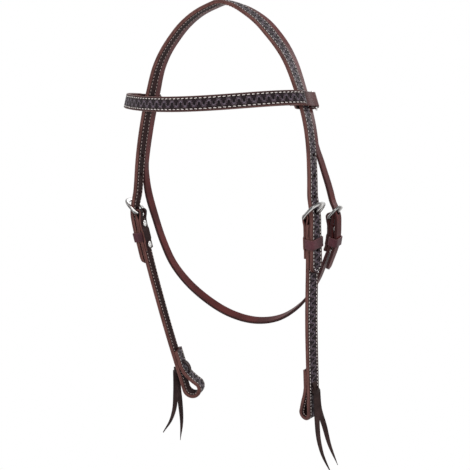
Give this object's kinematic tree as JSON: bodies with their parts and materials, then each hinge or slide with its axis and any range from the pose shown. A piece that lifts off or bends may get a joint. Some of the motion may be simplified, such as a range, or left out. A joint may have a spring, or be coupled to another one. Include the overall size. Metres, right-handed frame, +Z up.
{
  "type": "western browband headstall",
  "caption": "Browband headstall of doubled, tooled and stitched bridle leather with buckled cheekpieces, a throatlatch and tied bit loops.",
  "frame": {"origin": "middle of the flat underside of the crown, where it rests on the poll", "axes": "+Z up, +X to the horse's left (the near side), -Y to the front, towards the browband"},
  "size_m": [0.2933, 0.1964, 0.5892],
  "materials": {
    "tooled": "black-dyed tooled leather with off-white stitching and a dark brown border",
    "lining": "smooth dark brown skirting leather, burnished edges",
    "plain": "smooth red-brown bridle leather, burnished edges",
    "keeper": "thin dark brown leather",
    "lace": "oiled latigo lace",
    "hardware": "polished stainless steel"
  },
  "bodies": {
    "straps": {"bit_tie_near": "lace", "bit_tie_off": "lace", "cheek_keeper_near": "keeper", "cheek_keeper_off": "keeper", "cheek_lining_near": "lining", "cheek_lining_off": "lining", "cheek_overlay_near": "tooled", "cheek_overlay_off": "tooled", "cheek_screw_lower_near": "hardware", "cheek_screw_lower_off": "hardware", "cheek_screw_upper_near": "hardware", "cheek_screw_upper_off": "hardware", "crown_overlay": "tooled", "crown_strap": "plain", "throat_keeper": "keeper", "throat_screw_lower": "hardware", "throat_screw_upper": "hardware"},
    "browband": {"browband_lining": "lining", "browband_overlay": "tooled", "browband_loop_near": "hardware", "browband_loop_off": "hardware", "browband_return_near": "lining", "browband_return_off": "lining"},
    "near_buckle": {"cheek_buckle_near": "hardware"},
    "near_tongue": {"cheek_tongue_near": "hardware"},
    "off_buckle": {"cheek_buckle_off": "hardware"},
    "off_tongue": {"cheek_tongue_off": "hardware"},
    "throat_buckle_frame": {"throat_buckle": "hardware"},
    "throat_buckle_tongue": {"throat_tongue": "hardware"}
  },
  "joints": [
    {"name": "browband_slide", "type": "slide", "parent": "straps", "child": "browband", "axis": [0, 0, 1], "range_m": [-0.004, 0.002]},
    {"name": "near_cheek_buckle_tilt", "type": "hinge", "parent": "straps", "child": "near_buckle", "pos_m": [0.1245, 0, -0.264], "axis": [0.1027, 0.9892, 0.1045], "range_deg": [-4, 4]},
    {"name": "near_cheek_tongue_swing", "type": "hinge", "parent": "straps", "child": "near_tongue", "pos_m": [0.1245, 0, -0.264], "axis": [0.1027, 0.9892, 0.1045], "range_deg": [-4, 4]},
    {"name": "off_cheek_buckle_tilt", "type": "hinge", "parent": "straps", "child": "off_buckle", "pos_m": [-0.12445, 0.00013, -0.26501], "axis": [0.1887, -0.976, -0.1083], "range_deg": [-4, 4]},
    {"name": "off_cheek_tongue_swing", "type": "hinge", "parent": "straps", "child": "off_tongue", "pos_m": [-0.12445, 0.00013, -0.26501], "axis": [0.1887, -0.976, -0.1083], "range_deg": [-4, 4]},
    {"name": "throat_buckle_tilt", "type": "hinge", "parent": "straps", "child": "throat_buckle_frame", "pos_m": [0.1335, 0.04, -0.264], "axis": [0.0089, 0.9817, 0.1903], "range_deg": [-4, 4]},
    {"name": "throat_tongue_swing", "type": "hinge", "parent": "straps", "child": "throat_buckle_tongue", "pos_m": [0.1335, 0.04, -0.264], "axis": [0.0089, 0.9817, 0.1903], "range_deg": [-4, 4]}
  ],
  "couplings": [
    {"joint": "near_cheek_tongue_swing", "follows": "near_cheek_buckle_tilt", "ratio": 1},
    {"joint": "off_cheek_tongue_swing", "follows": "off_cheek_buckle_tilt", "ratio": 1},
    {"joint": "throat_tongue_swing", "follows": "throat_buckle_tilt", "ratio": 1}
  ]
}
